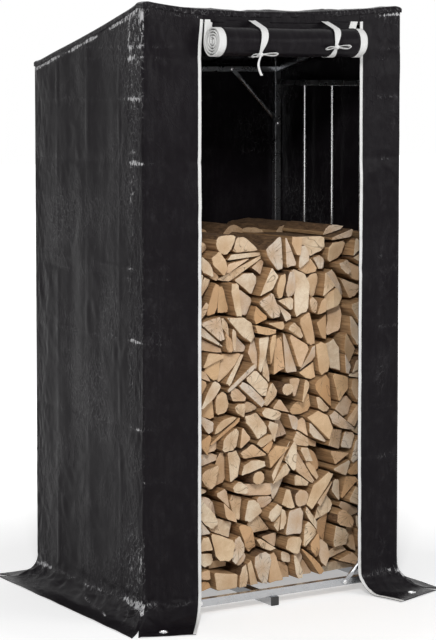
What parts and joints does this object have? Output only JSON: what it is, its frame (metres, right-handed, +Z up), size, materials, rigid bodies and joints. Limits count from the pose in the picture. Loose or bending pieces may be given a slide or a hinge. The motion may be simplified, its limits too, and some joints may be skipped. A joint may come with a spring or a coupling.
{
  "type": "log store",
  "caption": "Tall lean-to firewood rack in square steel tube with a fitted dark sheet cover, its door panel rolled up and tied over a doorway that shows stacked split logs.",
  "frame": {"origin": "plan centre of the rack on the ground, on the underside of the middle runner", "axes": "+Z up, the doorway faces -Y, +X to the right of someone looking at the doorway"},
  "size_m": [1.225, 1.076, 2],
  "materials": {
    "cover_sheet": "glossy woven sheet with a fine crossed weave and packing creases",
    "white_tape": "sewn woven binding tape",
    "tie_strap": "soft flat woven tape",
    "rack_steel": "dull zinc-coated square tube",
    "plug_plastic": "matt moulded end plug",
    "eyelet_metal": "pressed bright ring",
    "firewood": "split seasoned wood with pale end grain"
  },
  "bodies": {
    "root": {"base_rail_back": "rack_steel", "base_rail_front": "rack_steel", "base_rail_middle": "rack_steel", "base_runner_left": "rack_steel", "base_runner_middle": "rack_steel", "base_runner_right": "rack_steel", "brace_back_left": "rack_steel", "brace_back_right": "rack_steel", "brace_front_left": "rack_steel", "brace_front_right": "rack_steel", "cover_front_left": "cover_sheet", "cover_front_right": "cover_sheet", "cover_header": "cover_sheet", "cover_roof": "cover_sheet", "cover_wall_back": "cover_sheet", "cover_wall_left": "cover_sheet", "cover_wall_right": "cover_sheet", "door_roll": "cover_sheet", "door_tape_left": "white_tape", "door_tape_right": "white_tape", "eyelets": "eyelet_metal", "firewood_back_tier_1": "firewood", "firewood_back_tier_2": "firewood", "firewood_front_tier_1": "firewood", "firewood_front_tier_2": "firewood", "firewood_front_tier_3": "firewood", "firewood_front_tier_4": "firewood", "firewood_front_tier_5": "firewood", "post_back_left": "rack_steel", "post_back_right": "rack_steel", "post_front_left": "rack_steel", "post_front_right": "rack_steel", "roll_tape_left": "white_tape", "roll_tape_right": "white_tape", "runner_plugs": "plug_plastic", "side_rail_left": "rack_steel", "side_rail_right": "rack_steel", "side_rods_left": "rack_steel", "side_rods_right": "rack_steel", "tie_strap_left": "tie_strap", "tie_strap_right": "tie_strap", "top_rail_back": "rack_steel", "top_rail_front": "rack_steel", "top_rail_left": "rack_steel", "top_rail_right": "rack_steel"}
  },
  "joints": []
}
